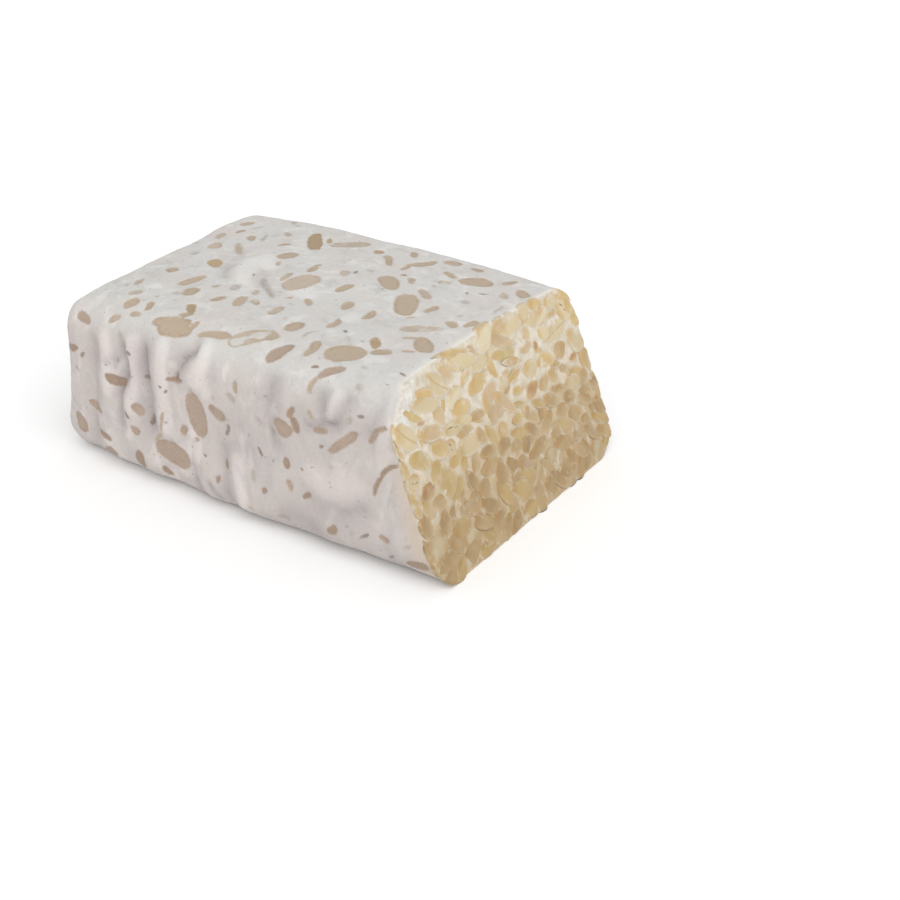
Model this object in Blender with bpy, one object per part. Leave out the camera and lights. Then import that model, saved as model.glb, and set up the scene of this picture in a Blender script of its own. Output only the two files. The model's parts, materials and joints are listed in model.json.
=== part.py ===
"""A cake of tempeh: soya beans bound by white mycelium into one firm block, with one end cut off.

The cake is one solid. It lies along X on its flat base, +Z up, with the cut end at +X. The knife was
held at a slant, so the cake is longer along its base than along its top. The skin is soft-edged,
slightly swollen and creased at the sides, and the cut shows the beans as low domes.
"""

import math

import bmesh
import bpy
from mathutils import Vector, noise

MM = 0.001

# The block before it swells. Its front is at -Y, and x is counted from the top edge of its back end.
WIDTH = 90.0 * MM
HEIGHT = 48.8 * MM
TOP_LENGTH = 118.3 * MM

# Slants, as run for each unit of drop (LEAN) or of width (SKEW).
CUT_LEAN = 0.386
CUT_SKEW = -0.027
END_LEAN = 0.126
END_SKEW = -0.094

# Rounded edges.
TOP_FRONT_RADIUS = 10.5 * MM
TOP_BACK_RADIUS = 9.0 * MM
BOTTOM_RADIUS = 9.8 * MM
END_RADIUS = 8.5 * MM

# How far the soft block swells: its sides at mid-length and at the base, its top along and across.
FRONT_BULGE = 2.6 * MM
BACK_BULGE = 2.5 * MM
FRONT_FLARE = 2.6 * MM
BACK_FLARE = 1.4 * MM
CROWN = 1.65 * MM
CROSS_CROWN = 1.2 * MM

# Soft unevenness of the skin.
SWELL_HEIGHT = 0.55 * MM
SWELL_LENGTH = 21.0 * MM
BASE_FADE = 9.0 * MM

# Creases in the two long sides: side, start x and z, end x and z, half width, depth.
FRONT, BACK = -1, 1
CREASES = [
    (FRONT, 32.0 * MM, 38.0 * MM, 27.5 * MM, 18.0 * MM, 4.0 * MM, 0.9 * MM),
    (FRONT, 40.5 * MM, 41.0 * MM, 41.0 * MM, 21.0 * MM, 4.5 * MM, 1.1 * MM),
    (FRONT, 58.0 * MM, 46.0 * MM, 52.5 * MM, 37.0 * MM, 3.5 * MM, 1.2 * MM),
    (FRONT, 99.0 * MM, 36.0 * MM, 108.0 * MM, 38.0 * MM, 3.5 * MM, 1.0 * MM),
    (BACK, 24.0 * MM, 40.0 * MM, 29.0 * MM, 16.0 * MM, 4.5 * MM, 1.0 * MM),
    (BACK, 71.0 * MM, 42.0 * MM, 66.0 * MM, 27.0 * MM, 4.0 * MM, 0.9 * MM),
    (BACK, 96.0 * MM, 33.0 * MM, 103.0 * MM, 20.0 * MM, 4.0 * MM, 0.9 * MM),
]

# Beans on the cut: the space that each takes, how far its middle strays, and how high it stands.
BEAN_WIDTH = 6.6 * MM
BEAN_HEIGHT = 9.6 * MM
BEAN_STRAY = 0.22
BEAN_RELIEF = 0.9 * MM
RIM_SHARE = 0.08

# The mesh: the size of a cell, and the cells that each one on the cut is split into, each way.
CELL = 4.0 * MM
CUT_SPLIT = 2
MEAN_LENGTH = TOP_LENGTH + (CUT_LEAN + END_LEAN) * HEIGHT / 2
TOUCHING = 1e-6

# The seed of the noise that places the beans.
SEED = 3


def clamp(value, low, high):
    return max(low, min(high, value))


def smooth_step(value):
    t = clamp(value, 0.0, 1.0)
    return t * t * (3 - 2 * t)


def edge_radius(y, z):
    """The radius of the long edge nearest to this place on the block's section."""
    if z < HEIGHT / 2:
        return BOTTOM_RADIUS
    return TOP_FRONT_RADIUS if y < 0 else TOP_BACK_RADIUS


def rounded(point):
    """A point of the box moved onto the rounded block, and which way its surface faces there."""
    radius = edge_radius(point.y, point.z)
    core = Vector((
        max(point.x, END_RADIUS),
        clamp(point.y, radius - WIDTH / 2, WIDTH / 2 - radius),
        clamp(point.z, radius, HEIGHT - radius),
    ))
    radii = Vector((END_RADIUS, radius, radius))
    away = point - core
    facing = Vector(a / r for a, r in zip(away, radii)).normalized()
    return core + Vector(f * r for f, r in zip(facing, radii)), facing


def swollen(point):
    """The rounded block's point after the block has spread at its base and swollen at mid-length."""
    share = clamp(point.x / MEAN_LENGTH, 0.0, 1.0)
    bell = 1 - (2 * share - 1) ** 2
    aside = clamp(point.y / (WIDTH / 2), -1.0, 1.0)
    down = 1 - point.z / HEIGHT
    if aside < 0:
        y = point.y + aside * (FRONT_FLARE * down + FRONT_BULGE * bell)
    else:
        y = point.y + aside * (BACK_FLARE * down + BACK_BULGE * bell)
    rise = CROWN * bell + CROSS_CROWN * (1 - aside * aside)
    z = point.z + rise * clamp(point.z / HEIGHT, 0.0, 1.0)
    drop = HEIGHT - z
    back_end = END_SKEW * y - END_LEAN * drop
    cut_end = TOP_LENGTH + CUT_SKEW * y + CUT_LEAN * drop
    return Vector((back_end + (cut_end - back_end) * share, y, z))


def crease_depth(point, facing):
    """How deep the creases press the skin in at this place."""
    depth = 0.0
    for side, x0, z0, x1, z1, half_width, deepest in CREASES:
        if facing.y * side <= 0:
            continue
        run = Vector((x1 - x0, z1 - z0))
        start = Vector((point.x - x0, point.z - z0))
        along = clamp(start.dot(run) / run.length_squared, 0.0, 1.0)
        off = (start - run * along).length
        depth += deepest * abs(facing.y) * math.exp(-((off / half_width) ** 2))
    return depth


def skin_relief(point, facing):
    """How far the skin stands out from the smooth swollen block."""
    swell = SWELL_HEIGHT * noise.noise(point / SWELL_LENGTH)
    return (swell - crease_depth(point, facing)) * smooth_step(point.z / BASE_FADE)


def bean_relief(point):
    """How far the cut's surface stands out, as upright domes in staggered columns."""
    height = 0.0
    middle = round(point.y / BEAN_WIDTH)
    for column in range(middle - 1, middle + 2):
        stagger = 0.5 * (column % 2)
        row_middle = round(point.z / BEAN_HEIGHT - stagger)
        for row in range(row_middle - 1, row_middle + 2):
            stray = noise.noise_vector(Vector((column * 1.7, row * 2.3, 0.5))) * 2 * BEAN_STRAY
            across = point.y / BEAN_WIDTH - column - stray.x
            up = point.z / BEAN_HEIGHT - row - stagger - stray.y
            height = max(height, 1 - 4 * (across * across + up * up))
    return BEAN_RELIEF * (math.sqrt(height) - 0.5)


def box_of_cells():
    """A closed box from x = 0 to MEAN_LENGTH, with the cut end's cells split finer."""
    bm = bmesh.new()
    bmesh.ops.create_cube(bm, size=1)
    sizes = Vector((MEAN_LENGTH, WIDTH, HEIGHT))
    for vert in bm.verts:
        vert.co = Vector(c * s for c, s in zip(vert.co, sizes))
        vert.co += Vector((MEAN_LENGTH / 2, 0, HEIGHT / 2))
    for axis in range(3):
        along = [e for e in bm.edges if abs((e.verts[1].co - e.verts[0].co)[axis]) > TOUCHING]
        cuts = round(sizes[axis] / CELL) - 1
        bmesh.ops.subdivide_edges(bm, edges=along, cuts=cuts, use_grid_fill=True)
    cut_edges = [e for e in bm.edges if any(f.normal.x > 0.5 for f in e.link_faces)]
    bmesh.ops.subdivide_edges(bm, edges=cut_edges, cuts=CUT_SPLIT - 1, use_grid_fill=True)
    return bm


def in_section(point):
    """A point inside the box's cut end, drawn in under the rounded corners, and its share of the
    way from the middle out to the rim."""
    middle = Vector((point.x, 0, HEIGHT / 2))
    offset = point - middle
    share = max(abs(offset.y) / (WIDTH / 2), abs(offset.z) / (HEIGHT / 2), TOUCHING)
    rim, _ = rounded(middle + offset / share)
    return middle.lerp(rim, share), share


def shape(bm):
    """Turns the box into the cake, one vertex at a time."""
    bm.normal_update()
    on_cut = {vert for vert in bm.verts if all(f.normal.x > 0.5 for f in vert.link_faces)}
    for vert in bm.verts:
        if vert in on_cut:
            place, share = in_section(vert.co)
            place = swollen(place)
            place.x += bean_relief(place) * smooth_step((1 - share) / RIM_SHARE)
        else:
            place, facing = rounded(vert.co)
            place = swollen(place)
            place += facing * skin_relief(place, facing)
        vert.co = place


def flatten_base(bm):
    """Joins the flat base's cells into one face."""
    base = [f for f in bm.faces if all(abs(v.co.z) < TOUCHING for v in f.verts)]
    bmesh.ops.dissolve_faces(bm, faces=base, use_verts=True)


def centre_on_base(bm):
    """Puts the middle of the base's box at the origin."""
    xs = [v.co.x for v in bm.verts]
    ys = [v.co.y for v in bm.verts]
    middle = Vector(((min(xs) + max(xs)) / 2, (min(ys) + max(ys)) / 2, 0))
    bmesh.ops.translate(bm, vec=-middle, verts=bm.verts)


def tempeh_material():
    """Matt, slightly warm white mycelium."""
    material = bpy.data.materials.new("mycelium")
    material.use_nodes = True
    shader = material.node_tree.nodes["Principled BSDF"]
    shader.inputs["Base Color"].default_value = (0.72, 0.69, 0.66, 1.0)
    shader.inputs["Roughness"].default_value = 0.8
    shader.inputs["Metallic"].default_value = 0.0
    return material


def clear_scene():
    for obj in list(bpy.data.objects):
        bpy.data.objects.remove(obj)


def main():
    clear_scene()
    noise.seed_set(SEED)
    collection = bpy.data.collections.new("tempeh_cake")
    bpy.context.scene.collection.children.link(collection)
    bm = box_of_cells()
    shape(bm)
    flatten_base(bm)
    centre_on_base(bm)
    bmesh.ops.recalc_face_normals(bm, faces=bm.faces)
    mesh = bpy.data.meshes.new("tempeh_cake")
    bm.to_mesh(mesh)
    bm.free()
    mesh.materials.append(tempeh_material())
    mesh.shade_smooth()
    mesh.set_sharp_from_angle(angle=math.radians(50))
    cake = bpy.data.objects.new("tempeh_cake", mesh)
    collection.objects.link(cake)


main()
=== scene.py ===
"""Looks of a cake of tempeh: its white mycelium skin, the beans that show through it, and the cut end.

The skin is one closed mesh that takes the place of the CAD solid. It has the same rounded, slanted and
swollen form, worked out from the same sizes, with finer folds, and each bean that shows through is sunk
a little into it. The cut beans are low bodies of their own, set in hollows of the cut end.

Places are in block coordinates, as in the CAD: x from the top edge of the back end, y from the front
(-) to the back (+), z up from the base.
"""

import json
import math
from collections import namedtuple

import bmesh
import bpy
import numpy as np
from mathutils import Matrix, Vector, noise

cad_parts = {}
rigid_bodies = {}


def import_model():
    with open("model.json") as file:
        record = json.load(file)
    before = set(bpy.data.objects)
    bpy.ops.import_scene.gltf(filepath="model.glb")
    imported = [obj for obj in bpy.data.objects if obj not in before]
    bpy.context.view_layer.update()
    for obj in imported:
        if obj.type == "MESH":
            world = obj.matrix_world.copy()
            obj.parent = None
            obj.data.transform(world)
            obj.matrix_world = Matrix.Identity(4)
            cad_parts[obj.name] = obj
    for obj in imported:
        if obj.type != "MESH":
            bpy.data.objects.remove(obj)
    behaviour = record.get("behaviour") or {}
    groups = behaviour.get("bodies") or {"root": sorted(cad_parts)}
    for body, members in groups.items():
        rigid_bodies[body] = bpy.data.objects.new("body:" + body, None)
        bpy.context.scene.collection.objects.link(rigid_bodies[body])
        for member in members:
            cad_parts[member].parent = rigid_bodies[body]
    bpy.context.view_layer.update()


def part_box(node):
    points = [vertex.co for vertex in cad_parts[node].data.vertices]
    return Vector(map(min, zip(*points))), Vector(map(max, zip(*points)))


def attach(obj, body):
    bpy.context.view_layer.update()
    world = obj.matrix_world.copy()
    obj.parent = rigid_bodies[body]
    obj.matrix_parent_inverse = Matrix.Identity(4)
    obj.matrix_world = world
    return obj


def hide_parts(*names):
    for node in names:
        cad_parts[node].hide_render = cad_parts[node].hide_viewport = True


MM = 0.001
TOUCHING = 1e-6

# The seeds of the vector noise and of everything that is left to chance.
NOISE_SEED = 3
CHANCE_SEED = 7

# How brightly the studio lights a white surface that faces the light.
LIGHT_LEVEL = 1.15

# The block, as in the CAD.
WIDTH = 90.0 * MM
HEIGHT = 48.8 * MM
TOP_LENGTH = 118.3 * MM
CUT_LEAN = 0.386
CUT_SKEW = -0.027
END_LEAN = 0.126
END_SKEW = -0.094
TOP_FRONT_RADIUS = 10.5 * MM
TOP_BACK_RADIUS = 9.0 * MM
BOTTOM_RADIUS = 9.8 * MM
END_RADIUS = 8.5 * MM
FRONT_BULGE = 2.6 * MM
BACK_BULGE = 2.5 * MM
FRONT_FLARE = 2.6 * MM
BACK_FLARE = 1.4 * MM
CROWN = 1.65 * MM
CROSS_CROWN = 1.2 * MM
SWELL_HEIGHT = 0.55 * MM
SWELL_LENGTH = 21.0 * MM
BASE_FADE = 9.0 * MM
MEAN_LENGTH = TOP_LENGTH + (CUT_LEAN + END_LEAN) * HEIGHT / 2
CUT_NORMAL = np.array([1.0, -CUT_SKEW, CUT_LEAN]) / math.hypot(1.0, CUT_SKEW, CUT_LEAN)

# The skin's mesh: the size of its cells, how many each of the cut's is split into, each way, and how near
# to an outline or to the cut's rim cells are split again, once for each number.
CELL = 1.2 * MM
CUT_SPLIT = 3
SPLIT_WITHIN = (0.75 * MM, 0.4 * MM)
SPLIT_FROM_CUT = (1.3 * MM, 0.7 * MM)

# The radius of the cut's rim and how uneven it is, and what the white corner adds to both, in mm.
RIM_RADIUS = 0.9
RIM_UNEVEN = 0.5
CORNER_RADIUS = 1.1
CORNER_UNEVEN = 0.4

# The skin's top sinks this much at the back end, fading over this length.
END_SAG = 1.4 * MM
END_SAG_LENGTH = 26.0 * MM

# At the cut's top front corner the skin turns over the edge: where on the section, how far and how wide.
SKIN_TURNS_AT = np.array([-42, 46]) * MM
SKIN_TURNS = 2.4 * MM
SKIN_TURNS_REACH = 5.0 * MM

# The top front corner of the back end stands out to a blunt point: where, which way and how far.
POINT_AT = np.array([7.0, -42.5, 45.0]) * MM
POINT_WAY = np.array([-0.62, -0.52, 0.58])
POINT_OUT = 1.1 * MM
POINT_REACH = 5.5 * MM

# Soft dips in the top, in mm: the place of each, how far it reaches and how deep it is.
DIPS = [(12, -37, 49, 5.5, 0.8), (4, 10, 49, 9, 0.8), (52, 42, 48, 14, 0.9)]

# How far the sides' feet swell in and out.
FOOT_LUMPS = 1.0 * MM

# Which way each side faces, and which way the first of its two coordinates runs.
SIDES = {
    "top": ((0, 0, 1), (1, 0, 0)),
    "front": ((0, -1, 0), (1, 0, 0)),
    "back": ((0, 1, 0), (1, 0, 0)),
    "end": ((-1, 0, 0), (0, 1, 0)),
    "base": ((0, 0, -1), (1, 0, 0)),
}

# Folds of the skin on each side: half width and depth in mm, how grey it is (grey tone and painted shade
# in its furrow), and the points of its line in mm. One of negative depth is a soft ridge, painted paler as a
# highlight. Only those deeper than SHALLOW (mm) are sharply creased.
SHALLOW = 0.3
FOLD_ROWS = {
    "front": [
        (2.6, 1.0, 0.5, (18.5, 39), (18, 29), (17, 20), (15, 8)),
        (1.9, 1.2, 0.8, (31.5, 40), (33, 33.5), (28.5, 24), (28, 16)),
        (1.2, 0.7, 0.6, (24, 34.5), (29.5, 35.5), (31.5, 37.5)),
        (2.8, 1.6, 1.0, (39, 42), (40, 35), (40.5, 28), (41, 19)),
        (1.5, 1.3, 0.9, (58, 46), (56, 44.5), (54, 41.5)), (1.2, 1.3, 1.0, (55, 43.5), (52.8, 37.5)),
        (2.4, -0.7, 0.0, (24, 41), (23.5, 26)), (2.0, -0.9, 0.0, (35.5, 42), (36, 33), (34, 23)),
        (2.4, -0.8, 0.0, (47, 43), (46, 30), (46, 20)), (2.4, -0.6, 0.0, (62, 45), (60, 38)),
        (2.4, 0.9, 0.7, (69.5, 21), (68.5, 11), (68.5, 3)), (2.0, 0.8, 0.7, (57, 12), (57.5, 3)),
        (2.2, -0.6, 0.0, (74, 18), (75, 6)), (0.5, 0.3, 0.6, (76, 27), (79, 22.5)),
        (0.5, 0.3, 0.7, (74.5, 16.5), (78.5, 8)), (0.5, 0.3, 0.6, (47.5, 17), (53, 14.5)),
        (1.4, 1.2, 0.8, (98, 35.5), (102.5, 37.3), (106, 37.5)), (1.8, 0.7, 0.6, (100.5, 45), (102, 40.5)),
        (1.3, -0.8, 0.0, (106, 45), (104, 39.5)), (1.6, 0.7, 0.7, (109, 45), (107.5, 39)),
        (2.0, 0.6, 0.4, (118, 46), (115, 38)), (2.6, 0.7, 0.7, (113, 17), (107, 13.5)),
        (3.6, -0.5, 0.0, (99, 22), (106, 20.5), (112, 22)), (3.2, 0.1, 0.8, (102, 13), (110, 14)),
        (3.2, 0.1, 1.0, (91, 8), (99, 7)), (2.5, 0.1, 0.8, (124, 6), (130, 5)),
        (4.0, 0.1, 0.6, (70, 28), (73, 22)), (3.0, 0.7, 0.5, (86, 44), (84, 34), (86, 28)),
        (0.9, 0.5, 0.9, (32, 40), (33.5, 36), (33, 32)), (0.8, 0.4, 0.8, (29, 22), (30.5, 17)),
        (0.8, 0.4, 0.8, (63, 9), (65, 3)), (0.8, 0.4, 0.7, (81, 33), (86, 30.5)),
    ],
    "top": [
        (1.5, 0.4, 0.45, (27.5, 5), (30.5, -1), (32, -6)), (1.3, 0.4, 0.5, (34, -4), (35, -8), (38, -11)),
        (0.9, 0.35, 0.7, (49.5, -8), (52.5, -12.5), (56, -13.5), (60, -17)),
        (2.2, 0.1, 0.35, (44.5, -5), (49, -8)), (2.6, -0.2, 0.0, (37, 5), (44, 0)),
        (3.0, -0.2, 0.0, (61, -7), (67, -11)), (2.5, -0.4, 0.0, (36, 2), (42, -8), (46, -14)),
    ],
}
Fold = namedtuple("Fold", "side half_width depth grey line")
FOLDS = [Fold(side, *row[:3], row[3:]) for side, rows in FOLD_ROWS.items() for row in rows]

# How a bean that shows through the skin looks: its colour as seen, how wide its soft edge is (mm), how
# well it shows, how much of it wisps of white cover, and how far in from its outline it shows (mm).
Look = namedtuple("Look", "colour soft cover veil band", defaults=(0.0, 40.0))
LOOKS = {
    "tan": Look((182, 165, 144), 0.42, 1.0),
    "pale": Look((190, 174, 156), 0.42, 0.95),
    "gold": Look((177, 151, 112), 0.4, 0.95),
    "amber": Look((165, 142, 108), 0.35, 0.97),
    "pink": Look((180, 160, 139), 0.4, 0.95, 0.15),
    "dun": Look((171, 151, 136), 0.42, 1.0),
    "brown": Look((157, 134, 115), 0.42, 0.97),
    "grey": Look((172, 165, 157), 0.7, 0.75, 0.2),
    # dark: small dark flecks, and painted shade in the slits and nicks where folds end.
    "dark": Look((138, 124, 115), 0.3, 0.9),
    "soft": Look((181, 165, 146), 0.6, 0.92, 0.2),
    "veiled": Look((186, 173, 155), 0.4, 0.95, 0.7),
    "ring": Look((184, 169, 149), 0.3, 0.95, 0.15, 1.5),
}

# The beans that show best: each one's two coordinates on its side, its length and width (mm), how its
# length is turned from the side's first direction (degrees), and how far its ends bend aside (mm).
Patch = namedtuple("Patch", "side look a b long wide turn bend", defaults=(0.0,))
TOP_BEANS = {
    "tan": [
        (78, -28.4, 6.2, 4.2, -89), (89, -11, 6.8, 2.4, -80, 0.5), (32, -20, 9.6, 4, 80),
        (110, -2.6, 4.2, 3, -40), (114, 0.9, 5.4, 2.2, 85), (20, -15, 5, 3.7, -30), (28, -39, 5, 4, 70),
        (34, -38, 4, 2.3, -60), (38, -26, 5.5, 4.4, 90), (48, -26, 4.6, 2.8, 55), (48, -38, 4.6, 1.9, 25),
        (46, -42, 13, 4.3, 11), (49, -43.5, 12.5, 4.8, 5), (54, -41, 3, 2, 80), (8, 29, 5, 3.2, 65),
        (12, 21, 3.7, 2, 85), (20, 18, 6, 2.8, -45), (34, 17, 4.5, 2, 60), (43, 9, 6.5, 5, 50),
        (56, 6, 5.5, 2.4, -75, 0.6), (55, 9, 2.4, 1.5, 70), (55, -24, 7, 3.5, -70), (71, -14, 5, 2.3, -35),
        (72, -1, 7, 3.3, 85), (80, -9, 6, 3, -80), (62, -41.4, 9.8, 2.6, 14, 0.5), (76, -36, 5, 4.4, 40),
        (85, -21, 7, 2.3, -80, 0.8), (90, -35, 8.4, 2.8, -75, 0.8), (98.4, -33, 11, 8.7, 32),
        (106, -28, 5.7, 3.2, 35), (67, 27, 4.4, 2.9, -35), (69, 25, 7.3, 2, -55), (70, 35, 4.6, 2.3, -55),
        (75.2, 25, 7, 1.8, -88), (77, 30, 9.3, 3.8, 60, -0.8), (89, 26, 6.6, 2.5, -25),
        (79.3, 11, 11.6, 5.9, -40), (83, 15.5, 5.3, 2.2, -55), (92.2, 0.2, 15, 7, -55),
        (100, 2, 5.9, 2.5, 80), (99, -6, 2.8, 1, 45), (98.2, 26.1, 10, 6.6, 36), (93, 35, 4.4, 2.7, -10),
        (106, 33, 5.3, 2.2, 60), (113, 28, 6.3, 3.7, -40), (112, -18, 9, 5.2, -50),
        (107, -16.5, 4.4, 1.4, 35), (111, -23, 3.7, 1.4, 25), (97, -44.6, 5.5, 1.7, 80, 0.4),
    ],
    "pale": [(60, -4, 12.7, 9.1, 90), (53, -3, 6.7, 2.2, -80), (16, 7, 6.6, 4.3, -50)],
    "gold": [
        (28, -5, 7.4, 4, -40), (43, 28.4, 5.4, 1.7, -55), (101, -24, 6.7, 2.6, -50),
        (61, 30, 3.8, 3.4, -50),
    ],
    "pink": [(33, -42, 4, 2, 10), (26, -44, 4.6, 2, 40), (84, 36, 6, 3.8, 10), (93, 10, 7.6, 2.7, -35)],
    "amber": [(47, -35, 7, 2.8, -45), (39.2, 24.2, 17, 3.1, -52), (40.6, 25.4, 17, 3.1, -50)],
    "soft": [
        (24, 8, 10.3, 2.4, -45), (50.2, 29.7, 12.8, 5.8, 53), (103.8, -12.3, 6.5, 4.2, 46),
        (18, -27, 5.7, 2.2, -65), (25, -34, 4.4, 3, 50), (10, 15, 5.7, 3, -65), (27, 27, 5.6, 2.3, -40),
        (21, 37, 3.3, 2, -45), (65, 8, 4.7, 2.7, -55), (54, -17, 4, 2.2, -50), (67, -24, 6.3, 3.2, -90),
        (109, 24, 4.6, 2.3, -55), (117, 20, 3, 2, 55),
    ],
    "dun": [(82.7, -40.5, 8.7, 3.6, 65), (100, -41, 7.4, 2.7, 38, 0.5)],
    "veiled": [(106.8, -9.3, 8.5, 3.4, 48)],
    "ring": [(72.8, -38.2, 12.9, 6.2, 40), (59, -22, 3.9, 2.4, -40), (92, 20, 4, 2.5, 20)],
    "grey": [
        (16, -2, 3, 2.2, -85), (32, -33, 1.6, 1.2, -75), (47, -17, 4.8, 2.8, -60),
        (35, -28, 2.7, 2.2, -15), (54, -12, 15, 1.7, -40), (91, 16, 2.6, 1, -35), (104, 12, 2.5, 2.2, 0),
        (24, 20, 7.8, 1.2, -60), (14, 28, 4.5, 1.8, 65), (110, -42, 2, 1.6, -10), (114, 14, 6.3, 0.7, -85),
        (84, -30, 4.6, 0.7, 85, 0.8), (94, -26, 3.6, 0.7, -40, 0.6),
    ],
    "dark": [(67, 11, 2.8, 1, -65), (117, -33, 2.3, 0.9, -15), (101, 18, 1.8, 0.7, -55)],
}
FRONT_BEANS = {
    "dun": [
        (18, 18, 6.5, 2.5, -15), (60, 28, 12.5, 7, -70), (49, 13, 13.6, 7, -5), (35, 16, 3.7, 2.2, -15),
        (37, 23.8, 4, 3.4, -50), (90, 33, 6, 4.4, -30), (108, 34, 11.3, 2.6, 40), (117, 38, 5.3, 1.9, 50),
        (119, 40, 4.3, 1.5, 25), (101, 35.3, 5.7, 1.4, 10), (121, 11, 3.7, 1.4, -15), (20, 4, 8.7, 4, 40),
        (9, 11, 7, 4.4, -75), (67, 31, 6.1, 2.9, -20), (14, 44, 5.7, 3, -15), (54, 22, 3.6, 2.5, 50),
    ],
    "pink": [(74, 40, 3.8, 2, -80), (46, 22, 6.6, 1.4, 75, 0.6), (44, 17, 4.1, 1, 40)],
    "brown": [
        (94, 35, 4.6, 3, -70), (35, 7, 6, 3.6, 78), (27, 29, 7.7, 3.4, -7), (21, 10, 6.8, 2.4, -5),
        (46, 6, 3.7, 2.8, -35), (69, 16, 2.7, 1.5, 90), (66, 11, 2.2, 1.3, -80),
        (90.5, 23.6, 3.3, 2.2, -75), (83, 13, 2.5, 1.5, 70), (9, 34, 5.5, 2.4, 10), (97, 16, 3.6, 1.8, 35),
        (92, 37.5, 3.5, 2, 60), (105, 9, 4.2, 2.7, 40), (131, 6, 7, 3.2, 5),
        (118.6, 25.5, 6.8, 1.3, 66, 0.7), (122.6, 30.4, 8.6, 1.5, 36, 0.8), (52.3, 36.2, 6.5, 1.3, 8),
    ],
    "grey": [
        (77, 6, 2, 1.3, 45), (128, 11, 3.1, 1, 35), (88, 6, 4, 1.6, 5), (110, 40, 2.6, 1.7, 45),
        (79, 16, 3.7, 1.6, -80),
    ],
    # Dark marks: painted shade in the slits and nicks where folds end, and small dark flecks.
    "dark": [
        (62, 17, 1.4, 1.1, -20), (41, 21, 4.4, 1.7, 62), (52.7, 37, 2.6, 0.9, 70),
        (46.3, 32.7, 1.6, 0.7, 15), (48.3, 32, 1.8, 0.7, 35), (82, 24, 2.7, 1, -55),
        (113, 42, 1.8, 0.8, 20), (115, 10, 3.4, 0.9, 30), (123, 6, 2.7, 1, 50),
    ],
}

# About how much lighter or darker than its look a bean that shows through may be, as a share.
SHADES = 0.08

# The rest is scattered: on each side, how many, the spans of its two coordinates, and the shortest,
# usual and longest length (mm). The faint ones lie between the beans listed above.
Scatter = namedtuple("Scatter", "side count spans lengths looks")
FULL = ["tan", "dun", "tan", "pale", "pink", "brown", "soft", "veiled", "grey"]
FAINT = ["grey", "soft", "grey", "pink", "dark"]
SCATTERS = [
    Scatter("top", 26, ((2, 116), (-42, 42)), (1.2, 2.0, 3.4), FAINT),
    Scatter("front", 24, ((2, 124), (5, 44)), (1.2, 2.2, 3.6), FAINT),
    Scatter("back", 62, ((0, 122), (5, 46)), (1.8, 4.8, 12.5), FULL),
    Scatter("end", 36, ((-42, 42), (6, 45)), (1.8, 4.6, 11.0), FULL),
    Scatter("base", 90, ((8, 126), (-35, 35)), (1.8, 5.0, 12.5), FULL),
]

# Bean tones on the cut, as seen.
TONES = {
    "pale": (206, 190, 155),
    "gold": (200, 173, 121),
    "tan": (192, 166, 126),
    "pink": (196, 172, 139),
    "red": (182, 143, 104),
    "olive": (192, 171, 121),
    "cream": (211, 199, 170),
    "brown": (180, 152, 111),
}

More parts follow.
